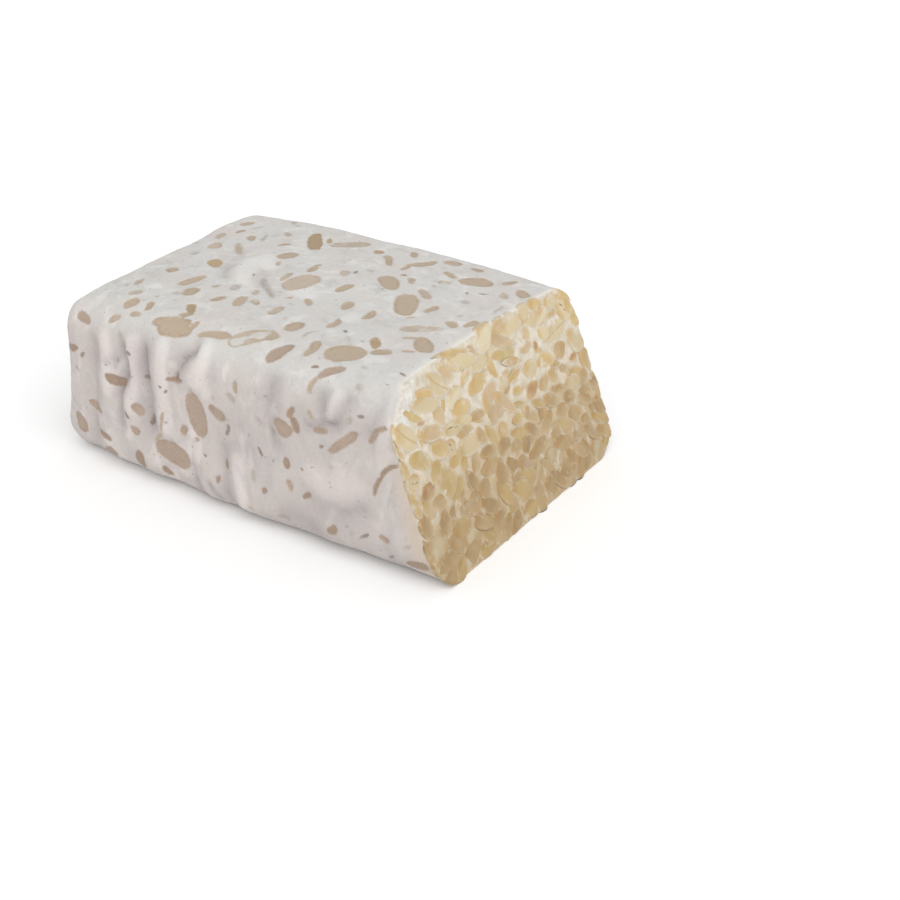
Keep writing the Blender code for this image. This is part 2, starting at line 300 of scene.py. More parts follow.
# The cut beans that show best: each one's y and z, its length and width (mm), and how far its length
# leans from straight up the cut towards the back (degrees).
CUT_BEANS = {
    "pale": [
        (-13, 46, 14.5, 5.5, -75), (-31, 41.5, 12, 4, -75), (-19, 33, 7, 3.5, -80),
        (-19, 27, 10, 5.5, -85), (34, 47, 7, 4.5, 90), (13, 47, 10, 5.5, 85), (20, 47.5, 7, 5, 45),
        (26.5, 40.5, 5.5, 4.5, -75), (41.5, 34, 9, 6.5, -50), (16, 34, 6.5, 5, -85), (3, 35.5, 8, 4, 60),
        (33, 24, 8, 4.5, 85),
    ],
    "gold": [
        (-15, 49, 13.5, 2.2, -75), (-30, 43.5, 7, 4, -75), (-37, 35.5, 5.5, 2, 10), (-31, 31, 8, 5.5, -70),
        (-18, 36, 8, 5, 90), (-8, 39, 10.5, 5.5, 75), (-1, 41, 8, 3.5, -25), (-9, 25, 7.5, 4, -30),
        (-22, 25, 3, 2, 55), (-46, 36, 5.5, 3, -30), (40.5, 46.5, 8.5, 4, -60), (43, 42, 7.5, 3.5, -25),
        (44, 38.5, 5, 4, -40), (27, 48, 7.5, 4, -80), (8, 35, 6.5, 3.5, 70), (8.5, 31.5, 6, 2.5, 90),
        (22, 37, 3.5, 2, -75), (44, 27, 8, 6, -15), (46, 17.5, 4, 2.5, -15), (4, 25, 5, 3, -90),
        (-4, 25, 5.5, 5, 70), (44.5, 16.5, 2.5, 2, -90), (-32, 22.5, 8, 7, -15), (-23.5, 23.5, 5.5, 3, 30),
        (-46, 22.5, 6.5, 2.7, -5), (-47, 11, 6.5, 2.7, -10), (15.5, 25, 7, 2.6, -75), (-46, 31, 6, 3, -10),
        (-47, 5, 6.5, 3, 0), (-42.5, 21, 5, 3, 20),
    ],
    "tan": [
        (-19, 30.5, 7.5, 3, -85), (-13, 27, 5.5, 3.5, -35), (33.5, 43.5, 5, 2, 80),
        (9, 38.5, 9.5, 2.5, -75), (28, 31, 4.5, 2, -80), (31, 29, 9, 2.6, -65), (20, 29, 6, 4, 65),
        (25, 28.5, 5.5, 4, -30), (40, 22.5, 6, 5.5, 65), (39, 20, 6, 2, -75), (37, 18, 6.5, 3, -65),
        (40, 15, 3.5, 2.5, -45), (35, 13, 4, 3, -75), (30.5, 16.5, 7.5, 5.5, -80), (25, 19, 6, 4, -85),
        (-37, 19.5, 5, 3.5, -70), (-19, 22.5, 6, 4, 35), (-44, 16.5, 7, 5, 5), (-28, 17, 5, 3, 30),
        (-24, 14, 6.5, 4.5, 30), (-18, 15, 6, 5, 35),
    ],
    "pink": [
        (-20, 46, 6.5, 4, -35), (-27.5, 37.5, 6, 4, -15), (-5, 34.5, 9, 5, 55), (-7, 47, 4, 2, -50),
        (18, 43, 4, 3.5, 60), (7, 44.5, 12.5, 4.5, -65), (17, 40, 6.5, 3, 75),
    ],
    "olive": [(-37, 41, 8, 2.5, -55), (-24, 39, 4, 2, 20), (6, 41.5, 11.5, 4, -80), (7, 28, 6, 2.4, -75)],
    "cream": [(-19, 39, 7.5, 5, 65), (28, 44, 8.5, 4.5, 85)],
    "brown": [
        (-12, 31.5, 7.5, 4, -80), (-12, 22.5, 8, 3.5, -80), (26, 25, 9.5, 3, -75), (3, 33, 4, 1.6, 70),
        (32, 34, 7.5, 5.5, 80), (-10, 15.5, 7.5, 5, 20), (-34, 15, 6.5, 3.5, 30), (-38, 14.5, 7, 4.5, 30),
    ],
    "red": [
        (13.5, 29, 7.5, 4, 70), (-40, 23.5, 7, 4.5, 70), (-34.5, 38.5, 3, 1.2, -85),
        (21.5, 38.5, 3, 2.4, -55), (37.5, 30, 4.5, 2.5, 80),
    ],
}
SPLIT_BEANS = [(-24, 44.5, 8.7, 6.2, -45), (-41, 37.5, 9.7, 6.4, -45), (32.5, 39, 12, 5.1, 80)]
SPECKED_BEANS = [
    (-12.5, 42, 5.5, 2.4, 60), (-23, 33, 9.7, 4, -85), (-27, 29, 5.4, 4.8, -25), (39.5, 43, 8.6, 6.7, -50),
    (-44, 27.5, 6.1, 4.3, 90),
]


def linear(srgb):
    """An sRGB colour of 0 to 255 as linear numbers."""
    shares = [value / 255 for value in srgb]
    return [s / 12.92 if s <= 0.04045 else ((s + 0.055) / 1.055) ** 2.4 for s in shares]


def seen(srgb):
    """The colour a surface needs to look like this sRGB colour in this light."""
    return [value / LIGHT_LEVEL for value in linear(srgb)]


def smooth_step(values):
    t = np.clip(values, 0.0, 1.0)
    return t * t * (3 - 2 * t)


def unit(vectors):
    return vectors / np.maximum(np.linalg.norm(vectors, axis=-1, keepdims=True), 1e-12)


def noise_at(points, size, seed=0.0):
    """Soft noise from -1 to 1 at each point. Its features are about size across."""
    spots = (points / size + seed * np.array([7.1, 3.7, 5.3])).tolist()
    return np.array([noise.noise(spot) for spot in spots])


def noise_vectors(points, size, seed=0.0):
    """Three soft noises at each point, as one vector."""
    spots = (points / size + seed * np.array([7.1, 3.7, 5.3])).tolist()
    return np.array([noise.noise_vector(spot)[:] for spot in spots])


def in_scene(name, data):
    """A new object in the scene that shows this mesh, light or camera."""
    item = bpy.data.objects.new(name, data)
    bpy.context.scene.collection.objects.link(item)
    return item


# ------------------------------------------------------------------------------ the block's form


def edge_radius(y, z):
    """The radius of the long edge nearest to each place of the block's section."""
    return np.where(z < HEIGHT / 2, BOTTOM_RADIUS, np.where(y < 0, TOP_FRONT_RADIUS, TOP_BACK_RADIUS))


def rounded(box):
    """The box's points moved onto the rounded block, and which way it faces there."""
    x, y, z = box.T
    radius = edge_radius(y, z)
    core = np.stack(
        [
            np.maximum(x, END_RADIUS),
            np.clip(y, radius - WIDTH / 2, WIDTH / 2 - radius),
            np.clip(z, radius, HEIGHT - radius),
        ],
        axis=1,
    )
    radii = np.stack([np.full_like(radius, END_RADIUS), radius, radius], axis=1)
    facing = unit((box - core) / radii)
    return core + facing * radii, facing


def swollen(block):
    """The rounded block's points after it has spread at its base and swollen at mid-length."""
    x, y, z = block.T
    share = np.clip(x / MEAN_LENGTH, 0.0, 1.0)
    bell = 1 - (2 * share - 1) ** 2
    aside = np.clip(y / (WIDTH / 2), -1.0, 1.0)
    down = 1 - z / HEIGHT
    front = FRONT_FLARE * down + FRONT_BULGE * bell
    back = BACK_FLARE * down + BACK_BULGE * bell
    y = y + aside * np.where(aside < 0, front, back)
    z = z + (CROWN * bell + CROSS_CROWN * (1 - aside**2)) * np.clip(z / HEIGHT, 0.0, 1.0)
    drop = HEIGHT - z
    back_end = END_SKEW * y - END_LEAN * drop
    cut_end = TOP_LENGTH + CUT_SKEW * y + CUT_LEAN * drop
    return np.stack([back_end + (cut_end - back_end) * share, y, z], axis=1)


Surface = namedtuple("Surface", "place facing outward on_cut inset from_cut")


def surface(box):
    """The box's points on the smooth block. Facing is the surface's own direction, outward the nearest
    skin's, inset the distance from the rim on the cut, and from_cut the distance from the cut on the skin."""
    x, y, z = box.T
    inside = (np.abs(y) < WIDTH / 2 - TOUCHING) & (z > TOUCHING) & (z < HEIGHT - TOUCHING)
    on_cut = (x > MEAN_LENGTH - TOUCHING) & inside
    block, facing = rounded(box)
    outward = facing.copy()
    middle = np.array([MEAN_LENGTH, 0.0, HEIGHT / 2])
    offset = box[on_cut] - middle
    share = np.abs(offset / np.array([1.0, WIDTH / 2, HEIGHT / 2])).max(axis=1, keepdims=True)
    share = np.maximum(share, TOUCHING)
    rim, rim_facing = rounded(middle + offset / share)
    block[on_cut] = middle + (rim - middle) * share
    facing[on_cut] = CUT_NORMAL
    outward[on_cut] = rim_facing
    inset = np.zeros(len(box))
    inset[on_cut] = np.sum((rim - block[on_cut]) * rim_facing, axis=1)
    return Surface(swollen(block), facing, outward, on_cut, inset, np.where(on_cut, 0.0, MEAN_LENGTH - x))


def rim_rounding(form, radius):
    """How far each point beside the cut's rim moves so that the rim has this radius."""
    back = np.where(form.on_cut, 0.0, form.from_cut)
    down = form.inset
    away = np.hypot(radius - back, radius - down)
    round_back = radius - (radius - back) * radius / away
    round_down = radius - (radius - down) * radius / away
    near = ((back < radius) & (down < radius))[:, None]
    move = (back - round_back)[:, None] * CUT_NORMAL + (down - round_down)[:, None] * form.outward
    return np.where(near, move, 0.0)


def depth_inside(y, z):
    """How far each spot of the cut end is inside its outline."""
    aside = np.clip(y / (WIDTH / 2), -1.0, 1.0)
    z = z / (1 + CROSS_CROWN * (1 - aside**2) / HEIGHT)
    flare = np.where(y < 0, FRONT_FLARE, BACK_FLARE)
    y = y / (1 + flare * (1 - z / HEIGHT) / (WIDTH / 2))
    radius = edge_radius(y, z)
    over_y = np.abs(y) - (WIDTH / 2 - radius)
    over_z = np.abs(z - HEIGHT / 2) - (HEIGHT / 2 - radius)
    corner = np.hypot(np.maximum(over_y, 0), np.maximum(over_z, 0))
    return radius - corner - np.minimum(np.maximum(over_y, over_z), 0)


def pressed_in(points, allowed):
    """The points moved in where they stand more than allowed outside the cut end's outline."""
    points = points.copy()
    step = 0.01 * MM
    for _ in range(3):
        y, z = points[:, 1], points[:, 2]
        depth = depth_inside(y, z)
        slope = [depth_inside(y + step, z) - depth, depth_inside(y, z + step) - depth]
        inward = unit(np.stack(slope, axis=1))
        points[:, 1:] += inward * np.maximum(-allowed - depth, 0)[:, None]
    points[:, 2] = np.maximum(points[:, 2], 0.1 * MM)
    return points


# ------------------------------------------------------------------------------ folds and patches


def on_side(place, side):
    """A side's two coordinates of each point."""
    if side in ("top", "base"):
        return place[:, [0, 1]]
    if side in ("front", "back"):
        return place[:, [0, 2]]
    return place[:, [1, 2]]


def line_distance(spots, line):
    """How far each spot is from a line of several stretches."""
    nearest = np.full(len(spots), np.inf)
    for start, end in zip(line[:-1], line[1:]):
        start = np.array(start) * MM
        run = np.array(end) * MM - start
        along = np.clip((spots - start) @ run / (run @ run), 0.0, 1.0)
        off = np.linalg.norm(spots - start - along[:, None] * run, axis=1)
        nearest = np.minimum(nearest, off)
    return nearest


def more_folds(rng):
    """Seeded soft folds down the back and the back end."""
    found = []
    for side, middles in (("back", range(10, 118, 13)), ("end", range(-34, 40, 14))):
        for middle in middles:
            x, top, low = middle + rng.uniform(-4, 4), rng.uniform(38, 47), rng.uniform(10, 26)
            drift = rng.uniform(-4, 4)
            line = [(x, top), (x + drift * 0.3 + rng.uniform(-1.5, 1.5), (top + low) / 2), (x + drift, low)]
            numbers = [rng.uniform(*span) for span in ((1.5, 2.6), (0.5, 1.3), (0.2, 0.6))]
            found.append(Fold(side, *numbers, line))
    return found


def folded(folds, place, facing):
    """How deep the folds are at each point, how grey (grey tone and painted shade in the furrows), and how
    pale the ridges (a painted highlight).
    """
    depth = np.zeros(len(place))
    grey = np.zeros(len(place))
    pale = np.zeros(len(place))
    wander = place + 1.5 * MM * noise_vectors(place, 9 * MM, 2.0)
    uneven = 1 + 0.5 * noise_at(place, 8 * MM, 4.0)
    for fold in folds:
        here = smooth_step(facing @ np.array(SIDES[fold.side][0], float) / 0.5)
        q = line_distance(on_side(wander, fold.side), fold.line) / (fold.half_width * MM)
        # A furrow with a low shoulder on each side and a sharper crease along its middle.
        crease = np.exp(-2.6 * q) if fold.depth > SHALLOW else 0.0
        shape = (0.75 * (1 - 0.5 * q**2) * np.exp(-0.5 * q**2) + 0.55 * crease) * here
        depth += fold.depth * MM * shape * uneven
        # Painted shade along the furrow, with its grey tone.
        shade = 0.7 * np.exp(-0.4 * q**2) + 0.8 * crease
        grey = np.maximum(grey, fold.grey * uneven * shade * here)
        # A ridge is painted paler: a painted highlight.
        if fold.depth < 0:
            pale = np.maximum(pale, 0.8 * uneven * np.exp(-0.7 * q**2) * here)
    return depth, grey, pale


def settled(patch, place, facing):
    """A patch's middle, normal and two directions on the skin."""
    normal, first = (np.array(v, float) for v in SIDES[patch.side])
    spots = on_side(place, patch.side)
    off = np.linalg.norm(spots - np.array([patch.a, patch.b]) * MM, axis=1)
    off[facing @ normal < 0.25] = np.inf
    nearest = int(np.argmin(off))
    middle, normal = place[nearest], facing[nearest]
    first = unit(first - normal * (first @ normal))
    second = np.cross(normal, first)
    turn = math.radians(patch.turn)
    along = math.cos(turn) * first + math.sin(turn) * second
    return middle, normal, along, np.cross(normal, along)


def outline_distance(u, v, half_long, half_wide, egg):
    """About how far each spot is outside a bean's outline (negative inside). One end is slimmer by egg."""
    wide = half_wide * (1 - egg * np.clip(u / half_long, -1.0, 1.0))
    power = 2.3
    s, t = np.abs(u) / half_long, np.abs(v) / wide
    size = np.maximum((s**power + t**power) ** (1 / power), 1e-6)
    slope = np.hypot((s / size) ** (power - 1) / half_long, (t / size) ** (power - 1) / wide)
    return (size - 1) / slope


def measured(patches, place, facing):
    """The nearest patch to each point: how far it is outside that patch's outline, and its number."""
    reach = 3 * MM
    edge = np.full(len(place), reach)
    owner = np.zeros(len(place), int)
    wobbly = place + 0.45 * MM * noise_vectors(place, 3.2 * MM, 1.0)
    wobbly += 0.14 * MM * noise_vectors(place, 1.1 * MM, 3.0)
    for number, patch in enumerate(patches):
        middle, normal, along, across = settled(patch, place, facing)
        half_long, half_wide = patch.long * MM / 2, patch.wide * MM / 2
        near = np.linalg.norm(place - middle, axis=1) < half_long + reach
        near &= facing @ normal > 0.1
        offset = wobbly[near] - middle
        u, v = offset @ along, offset @ across
        v = v + patch.bend * MM * ((u / half_long) ** 2 - 0.5)
        egg = 0.3 * noise.noise((patch.a * 0.37, patch.b * 0.37, 4.4))
        found = outline_distance(u, v, half_long, half_wide, egg)
        spots = np.flatnonzero(near)
        closer = found < edge[spots]
        edge[spots[closer]] = found[closer]
        owner[spots[closer]] = number
    return edge, owner


def listed():
    """The patches that are listed."""
    return [
        Patch(side, look, *numbers)
        for side, beans in (("top", TOP_BEANS), ("front", FRONT_BEANS))
        for look, rows in beans.items()
        for numbers in rows
    ]


# Seeded patches: tries for each, how much their lengths vary, their widths and bends as shares of the
# length, and how far apart they are: this share of their lengths and this many mm.
TRIES_EACH = 60
LENGTHS_VARY = 0.42
PATCH_WIDE = (0.34, 0.66)
PATCH_BEND = 0.12
APART_SHARE = 0.4
APART = 0.9


def scattered(scatter, rng, taken):
    """Seeded patches on one side, clear of those there already."""
    shortest, usual, longest = scatter.lengths
    (a0, a1), (b0, b1) = scatter.spans
    there = [p for p in taken if p.side == scatter.side]
    found = []
    for _ in range(scatter.count * TRIES_EACH):
        if len(found) == scatter.count:
            break
        long = float(np.clip(rng.lognormal(math.log(usual), LENGTHS_VARY), shortest, longest))
        wide = long * rng.uniform(*PATCH_WIDE)
        a, b = rng.uniform(a0, a1), rng.uniform(b0, b1)
        turn, bend = rng.uniform(-90, 90), rng.uniform(-PATCH_BEND, PATCH_BEND) * long
        look = scatter.looks[rng.integers(len(scatter.looks))]
        if all(
            math.hypot(a - p.a, b - p.b) > APART_SHARE * (p.long + long) + APART for p in found + there
        ):
            found.append(Patch(scatter.side, look, a, b, long, wide, turn, bend))
    return found


# ------------------------------------------------------------------------------ the cut beans

# A bean's mesh: rings on its outer and inner half, and spokes. Its outline's power makes it fuller than
# an ellipse's dome.
OUTER_RINGS = 8
INNER_RINGS = 3
SPOKES = 24
DOME_POWER = 2.6

# How much lighter or darker than its tone a bean may be, and how much darker it is low down, from this
# height and over this span (mm). The darkening low down is partly the lower beans' deeper tone and partly
# painted shade.
BEAN_SHADES = 0.06
LOW_TONE_AND_SHADE = 0.23
SHADE_TOP = 43
SHADE_SPAN = 28

# A bean's outline lies under the mycelium, so the bean is this much larger than what shows of it.
GROWN = 1.2

# A bent bean's middle moves one way and its ends the other, and this share of its length squared stays.
BEND_MIDDLE = 0.4

# Seeded beans between the listed ones: how many are tried, the spans of y and z (mm), how far
# inside the rim they start, their usual lean and its spread (degrees), their lengths and widths (mm), and
# how far apart they are at least, on a scale where outlines that touch are TOUCH apart. Those above HIGH
# (mm), further inside than the band along the rim, lie freer than the rest.
FILL_TRIES = 5000
FILL_Y = (-47, 47)
FILL_Z = (1.5, 49.5)
FILL_INSIDE = 0.7 * MM
FILL_LEAN = (68, 22)
FILL_LONG = (6.0, 11.0)
FILL_WIDE = (3.5, 5.9)
FILL_CLEAR = 0.92
FILL_CLEAR_HIGH = 1.02
TOUCH = 1.25
HIGH = 29.0
RIM_BAND = 7.0 * MM

# The seeded beans' tones in the upper and lower part of the cut, and the height where they turn (mm).
TONES_TURN = (22, 38)
HIGH_TONES = ["pale", "gold", "gold", "tan", "pale", "pink", "cream", "olive", "pale"]
LOW_TONES = ["tan", "gold", "brown", "tan", "gold", "pink", "brown", "gold", "pale"]

# The top front corner of the cut, white with thick mycelium, starts above this height (mm) and at a
# line that slants by this run for each unit of drop. No beans are seeded past where that line is
# SEEDLESS_FROM to the front at the height of SEEDLESS_TOP (mm).
CORNER_LOW = 36
CORNER_SLANT = 0.8
SEEDLESS_FROM = 26
SEEDLESS_TOP = 48

Seat = namedtuple("Seat", "tone y z long wide lean split speck", defaults=(0.0, 0.0))
Bean = namedtuple(
    "Bean", "seat middle along aside half_long half_wide thick egg bend tip tilt level flat dark_way"
)


def in_white_corner(y, z):
    """Whether a spot of the cut (mm) is in its white top front corner, where no beans are seeded."""
    return z > CORNER_LOW and y < -SEEDLESS_FROM - CORNER_SLANT * (SEEDLESS_TOP - z)


def into_corner(place, start, soft):
    """How far each point is into the white corner, from 0 to 1 over the soft distance."""
    into = smooth_step((-start - place[:, 1] - CORNER_SLANT * (HEIGHT - place[:, 2])) / soft)
    return into * smooth_step((place[:, 2] - CORNER_LOW * MM) / soft)


def seats(rng):
    """The cut beans: those listed, and seeded ones wherever there is room between them."""
    found = [Seat(tone, *numbers) for tone, rows in CUT_BEANS.items() for numbers in rows]
    found += [Seat("pale", *numbers, split=1.0) for numbers in SPLIT_BEANS]
    found += [Seat("pale", *numbers, speck=1.0) for numbers in SPECKED_BEANS]
    for _ in range(FILL_TRIES):
        y, z = rng.uniform(*FILL_Y), rng.uniform(*FILL_Z)
        long, wide = rng.uniform(*FILL_LONG), rng.uniform(*FILL_WIDE)
        lean = rng.choice([-1, 1]) * rng.normal(*FILL_LEAN)
        tones = LOW_TONES if z < rng.uniform(*TONES_TURN) else HIGH_TONES
        tone = tones[rng.integers(len(tones))]
        depth = depth_inside(np.array(y * MM), np.array(z * MM))
        if depth < FILL_INSIDE or in_white_corner(y, z):
            continue
        new = Seat(tone, y, z, long, wide, lean)
        clear = FILL_CLEAR_HIGH if depth > RIM_BAND and z > HIGH else FILL_CLEAR
        if all(seat_clear(new, s) > clear for s in found):
            found.append(new)
    return found


def seat_clear(a, b):
    """How far apart two seats are: TOUCH where their outlines touch."""
    away = Vector((b.y - a.y, (b.z - a.z) / math.cos(math.atan(CUT_LEAN))))
    reach = 0.0
    for seat in (a, b):
        lean = math.radians(seat.lean)
        along = away.x * math.sin(lean) + away.y * math.cos(lean)
        aside = away.x * math.cos(lean) - away.y * math.sin(lean)
        size = max(math.hypot(along / (seat.long / 2), aside / (seat.wide / 2)), TOUCHING)
        reach += away.length / size
    return away.length / reach * TOUCH


def placed_bean(seat, rng):
    """Where a bean lies in the cut's plane, and the chance parts of its form."""
    lean = math.radians(seat.lean)
    rising = unit(np.array([-CUT_LEAN, 0.0, 1.0]))
    across = np.cross(CUT_NORMAL, rising)
    across = across if across[1] > 0 else -across
    drop = HEIGHT - seat.z * MM
    middle = np.array([TOP_LENGTH + CUT_SKEW * seat.y * MM + CUT_LEAN * drop, seat.y * MM, seat.z * MM])
    # The side of a bean painted darker, mostly the same way for all: partly its golden rim, partly painted
    # shade.
    dark_side = rng.normal(50, 38)
    return Bean(
        seat,
        middle,
        math.cos(lean) * rising + math.sin(lean) * across,
        math.cos(lean) * across - math.sin(lean) * rising,
        GROWN * seat.long * MM / 2,
        GROWN * seat.wide * MM / 2,
        thick=seat.wide * MM * rng.uniform(0.18, 0.24),
        egg=rng.uniform(-0.3, 0.3),
        bend=rng.uniform(-0.16, 0.16),
        tip=rng.uniform(0.0, 0.45),
        tilt=(rng.normal(0, 0.04), rng.normal(0, 0.1)),
        level=rng.uniform(0.0, 0.22) * MM,
        flat=rng.uniform(0.6, 0.9),
        dark_way=math.sin(math.radians(dark_side)) * rising - math.cos(math.radians(dark_side)) * across,
    )


def bean_distance(bean, place):
    """About how far each point is outside a bean's outline, seen square to the cut."""
    offset = place - bean.middle
    s = offset @ bean.along / bean.half_long
    v = offset @ bean.aside - 2 * bean.bend * bean.half_wide * (s**2 - BEND_MIDDLE)
    ends = np.clip(s, -1.0, 1.0)
    t = v / (bean.half_wide * (1 - bean.egg * ends) * (1 - bean.tip * ends**2))
    size = np.maximum(np.hypot(s, t), 1e-6)
    return (size - 1) / np.hypot(s / size / bean.half_long, t / size / bean.half_wide)


def bean_rings():
    """The unit bean: its points (the last number 1 at the outer top, -1 at the inner), and its faces."""
    outer = [math.sin(i / OUTER_RINGS * math.pi / 2) for i in range(1, OUTER_RINGS + 1)]
    inner = [math.sin(i / INNER_RINGS * math.pi / 2) for i in range(INNER_RINGS - 1, 0, -1)]
    rings = [(r, 1) for r in outer] + [(r, -1) for r in inner]
    points = [(0.0, 0.0, 1.0)]
    for r, way in rings:
        rise = way * math.sqrt(1 - r**DOME_POWER)
        for k in range(SPOKES):
            angle = 2 * math.pi * k / SPOKES
            points.append((r * math.cos(angle), r * math.sin(angle), rise))
    points.append((0.0, 0.0, -1.0))
    faces = []
    for k in range(SPOKES):
        this, other = 1 + k, 1 + (k + 1) % SPOKES
        faces.append((0, this, other))
        for row in range(0, (len(rings) - 1) * SPOKES, SPOKES):
            faces.append((this + row, this + row + SPOKES, other + row + SPOKES, other + row))
        row = (len(rings) - 1) * SPOKES
        faces.append((len(points) - 1, other + row, this + row))
    return np.array(points), faces


def bean_points(bean, unit_bean):
    """A bean's points in block coordinates, their share of the way to its dark side, and how far each
    stands out of the mycelium, as a share."""
    s, t, rise = unit_bean.T
    u = s * bean.half_long
    v = t * bean.half_wide * (1 - bean.egg * s) * (1 - bean.tip * s**2)
    v += 2 * bean.bend * bean.half_wide * (s**2 - BEND_MIDDLE)
    w = np.where(rise > 0, np.minimum(rise, bean.flat), 0.9 * rise) * bean.thick
    w -= bean.seat.split * 0.15 * MM * np.exp(-((t / 0.13) ** 2)) * (rise > 0)
    w += u * bean.tilt[0] + v * bean.tilt[1]
    w += bean.level - bean.flat * bean.thick
    dent = 0.12 * MM * noise_at(bean.middle + np.stack([u, v, w], axis=1), 2.5 * MM, 11.0)
    place = bean.middle + u[:, None] * bean.along + v[:, None] * bean.aside + (w + dent)[:, None] * CUT_NORMAL
    p, q = bean.along @ bean.dark_way, bean.aside @ bean.dark_way
    darker = (u * p + v * q) / math.hypot(bean.half_long * p, bean.half_wide * q)
    stands = np.clip((w + 0.12 * MM) / (bean.level + 0.12 * MM), 0.0, 1.0)
    return pressed_in(place, 0.3 * MM), darker, stands


def make_cut_beans(beans, origin, rng):
    unit_bean, unit_faces = bean_rings()
    points, faces, colours, local = [], [], [], []
    for number, bean in enumerate(beans):
        place, darker, stands = bean_points(bean, unit_bean)
        points.append(place)
        local.append(np.stack([unit_bean[:, 1], darker, stands], axis=1))
        faces += [[number * len(unit_bean) + i for i in face] for face in unit_faces]
        # Darker low down: partly the lower beans' deeper tone, partly painted shade.
        low = smooth_step((SHADE_TOP - bean.seat.z) / SHADE_SPAN)
        shade = 1 + rng.uniform(-BEAN_SHADES, BEAN_SHADES) - LOW_TONE_AND_SHADE * low
        colours.append(np.tile(np.array(seen(TONES[bean.seat.tone])) * shade, (len(unit_bean), 1)))
    mesh = bpy.data.meshes.new("cut_beans")
    mesh.from_pydata((np.concatenate(points) - origin).tolist(), [], faces)
    mesh.shade_smooth()
    each = len(unit_bean)
    add_bean_colours(mesh, np.concatenate(colours))
    add_values(mesh, split=np.repeat([b.seat.split for b in beans], each))
    add_values(mesh, speck=np.repeat([b.seat.speck for b in beans], each))
    add_attribute(mesh, "in_bean", "FLOAT_VECTOR", "vector", np.concatenate(local))
    add_values(mesh, along=np.tile(unit_bean[:, 0], len(beans)))
    return in_scene("cut_beans", mesh)


# ------------------------------------------------------------------------------ the skin


def box_net():
    """A closed box from x = 0 to MEAN_LENGTH, made of even cells, with the cut's cells split finer."""
    bm = bmesh.new()
    bmesh.ops.create_cube(bm, size=1)
    sizes = (MEAN_LENGTH, WIDTH, HEIGHT)
    for vert in bm.verts:
        vert.co = Vector((c * s for c, s in zip(vert.co, sizes))) + Vector((sizes[0] / 2, 0, sizes[2] / 2))
    for axis in range(3):
        along = [e for e in bm.edges if abs((e.verts[1].co - e.verts[0].co)[axis]) > TOUCHING]
        cuts = round(sizes[axis] / CELL) - 1
        bmesh.ops.subdivide_edges(bm, edges=along, cuts=cuts, use_grid_fill=True)
    bm.normal_update()
    cut_edges = [e for e in bm.edges if any(f.normal.x > 0.5 for f in e.link_faces)]
    bmesh.ops.subdivide_edges(bm, edges=cut_edges, cuts=CUT_SPLIT - 1, use_grid_fill=True)
    return bm


def places(bm):
    return np.array([vert.co[:] for vert in bm.verts])


def split_near_outlines(bm, patches):
    """Splits the cells beside the cut's rim, and those that a bean's outline runs through."""
    for within, from_cut in zip(SPLIT_WITHIN, SPLIT_FROM_CUT):
        form = surface(places(bm))
        edge, _ = measured(patches, form.place, form.facing)
        edge[form.on_cut] = 1.0
        near = np.abs(edge) < within
        beside = ~form.on_cut & (form.from_cut < from_cut) & (form.from_cut > TOUCHING)
        rim = ~form.on_cut & (form.from_cut <= TOUCHING)
        bm.verts.index_update()
        ends = [(e, e.verts[0].index, e.verts[1].index) for e in bm.edges]
        chosen = [
            e
            for e, i, j in ends
            if near[i] and near[j] or edge[i] * edge[j] < 0 or beside[i] and rim[j] or rim[i] and beside[j]
        ]
        bmesh.ops.subdivide_edges(bm, edges=chosen, cuts=1, use_grid_fill=True)


def add_attribute(mesh, name, kind, key, values):
    attribute = mesh.attributes.new(name, kind, "POINT")
    attribute.data.foreach_set(key, np.asarray(values).astype(np.float32).ravel())


def add_values(mesh, **values):
    for name, numbers in values.items():
        add_attribute(mesh, name, "FLOAT", "value", numbers)


def add_bean_colours(mesh, colours):
    full = np.concatenate([colours, np.ones((len(colours), 1))], axis=1)
    add_attribute(mesh, "bean_colour", "FLOAT_COLOR", "color", full)


def skin_height(form, folds, edge):
    """How far the skin stands out from the smooth block, how grey its folds are (grey tone and painted shade)
    and how pale its ridges (a painted highlight).
    """
    place, facing = form.place, form.facing
    sideways = 1 - np.abs(facing[:, 2])
    depth, grey, pale = folded(folds, place, facing)
    swell = SWELL_HEIGHT * noise_at(place, SWELL_LENGTH)
    upright = place * np.array([1.0, 1.0, 0.45])
    pucker = MM * (0.12 + 0.42 * sideways) * noise_at(upright, 7 * MM, 5.0)
    ripple = MM * (0.07 + 0.08 * sideways) * noise_at(place, 2.6 * MM, 6.0)
    sunk = 0.2 * MM * smooth_step(0.4 - edge / (0.8 * MM))
    low = place[:, 2]
    sag = END_SAG * smooth_step(1 - place[:, 0] / END_SAG_LENGTH) * np.clip(facing[:, 2], 0.0, 1.0)
    sag *= 0.1 + 0.9 * smooth_step((20 * MM - place[:, 1]) / (35 * MM))
    for x, y, z, reach, deep in DIPS:
        off = np.linalg.norm(place - np.array([x, y, z]) * MM, axis=1)
        sag += deep * MM * np.exp(-((off / (reach * MM)) ** 2)) * np.clip(facing[:, 2], 0.0, 1.0)
    soft = swell * smooth_step(low / BASE_FADE) + (pucker - depth) * smooth_step(low / (5 * MM)) + ripple
    foot = FOOT_LUMPS * noise_at(place, 12 * MM, 15.0) * smooth_step(low / (3 * MM))
    foot *= smooth_step(2 - low / (9 * MM))
    return (soft + foot - sag - sunk) * smooth_step(form.from_cut / (5 * MM)), grey, pale


